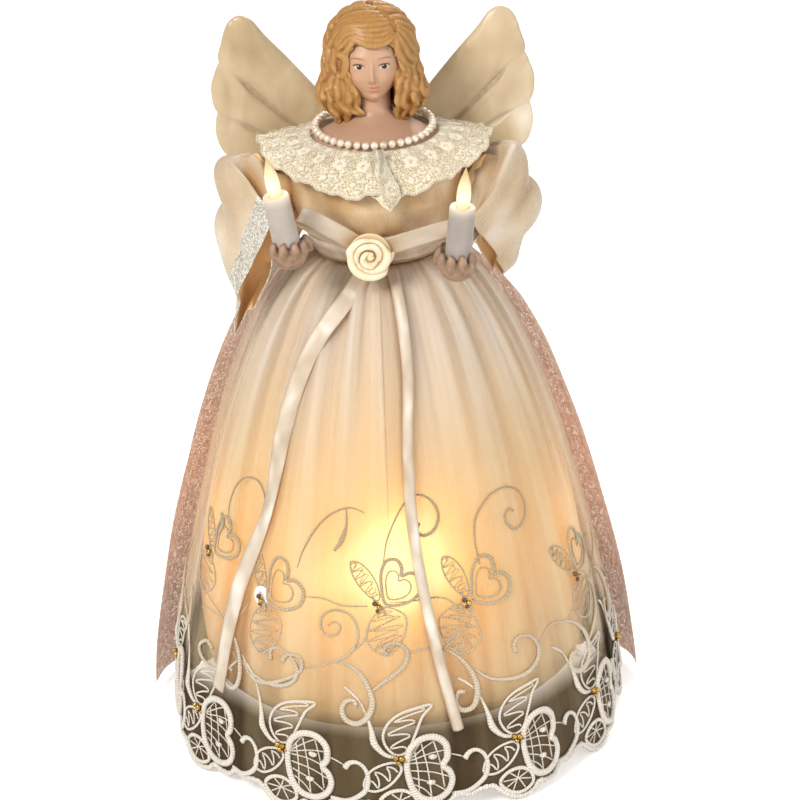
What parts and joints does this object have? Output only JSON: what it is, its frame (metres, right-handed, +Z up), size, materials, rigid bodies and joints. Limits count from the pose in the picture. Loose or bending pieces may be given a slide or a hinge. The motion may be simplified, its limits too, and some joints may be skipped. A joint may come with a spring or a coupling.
{
  "type": "angel tree topper",
  "caption": "Dressed angel figure on a lamp-lit skirt cone with a socket tube for a tree top, padded wings, posable arms and lit candles.",
  "frame": {"origin": "the middle of the socket tube's mouth, at the tube's lower end", "axes": "+Z up along the socket tube and through the head; -Y is the way the figure faces; +X is to the right as seen from the front"},
  "size_m": [0.2076, 0.1982, 0.3051],
  "materials": {
    "satin": "ivory satin",
    "wing_satin": "champagne satin over wadding",
    "organza": "sheer embroidered organza",
    "glitter_tulle": "net with silver and pink glitter",
    "lace": "cream cotton lace",
    "ribbon": "cream satin ribbon",
    "bisque": "painted bisque porcelain",
    "hand_bisque": "bisque porcelain",
    "hair_paint": "painted moulded hair",
    "pearl": "pearl lustre",
    "cone_plastic": "translucent sheet",
    "white_plastic": "white moulding",
    "candle_plastic": "white tube with a lilac cast",
    "lamp_glass": "clear, lit warm",
    "wire_cover": "ivory cable cover",
    "steel_wire": "drawn wire",
    "card": "grey card"
  },
  "bodies": {
    "figure": {"socket_tube": "card", "skirt_cone": "cone_plastic", "tube_collar": "white_plastic", "lamp_plate": "white_plastic", "lamp_holder_1": "white_plastic", "lamp_holder_2": "white_plastic", "lamp_holder_3": "white_plastic", "lamp_holder_4": "white_plastic", "lamp_holder_5": "white_plastic", "lamp_holder_6": "white_plastic", "lamp_holder_7": "white_plastic", "lamp_holder_8": "white_plastic", "lamp_bulb_1": "lamp_glass", "lamp_bulb_2": "lamp_glass", "lamp_bulb_3": "lamp_glass", "lamp_bulb_4": "lamp_glass", "lamp_bulb_5": "lamp_glass", "lamp_bulb_6": "lamp_glass", "lamp_bulb_7": "lamp_glass", "lamp_bulb_8": "lamp_glass", "wire_ring": "wire_cover", "left_lead": "wire_cover", "right_lead": "wire_cover", "torso_form": "card", "shoulder_wire": "steel_wire", "head_and_shoulders": "bisque", "hair": "hair_paint", "bodice": "satin", "underskirt": "satin", "overskirt": "organza", "back_cape": "glitter_tulle", "lace_collar": "lace", "pearl_necklace": "pearl", "left_wing": "wing_satin", "right_wing": "wing_satin", "wing_card": "card", "sash": "ribbon", "ribbon_rose": "ribbon", "bow_left_loop": "ribbon", "bow_right_loop": "ribbon", "left_tail": "ribbon", "right_tail": "ribbon"},
    "left_arm_body": {"left_arm": "steel_wire", "left_sleeve": "satin", "left_hand": "hand_bisque", "left_candle_lead": "wire_cover", "left_candle": "candle_plastic"},
    "left_lamp_body": {"left_candle_bulb": "lamp_glass"},
    "right_arm_body": {"right_arm": "steel_wire", "right_sleeve": "satin", "right_hand": "hand_bisque", "right_candle_lead": "wire_cover", "right_candle": "candle_plastic"},
    "right_lamp_body": {"right_candle_bulb": "lamp_glass"}
  },
  "joints": [
    {"name": "left_arm_pivot", "type": "hinge", "parent": "figure", "child": "left_arm_body", "pos_m": [-0.0366, 0.001, 0.203], "axis": [-1, 0, 0], "range_deg": [-5, 20]},
    {"name": "left_lamp_pull", "type": "slide", "parent": "left_arm_body", "child": "left_lamp_body", "axis": [-0.1553, -0.1219, 0.9803], "range_m": [0, 0.012]},
    {"name": "right_arm_pivot", "type": "hinge", "parent": "figure", "child": "right_arm_body", "pos_m": [0.0366, 0.001, 0.203], "axis": [-1, 0, 0], "range_deg": [-5, 20]},
    {"name": "right_lamp_pull", "type": "slide", "parent": "right_arm_body", "child": "right_lamp_body", "axis": [0.1553, -0.1219, 0.9803], "range_m": [0, 0.012]}
  ]
}
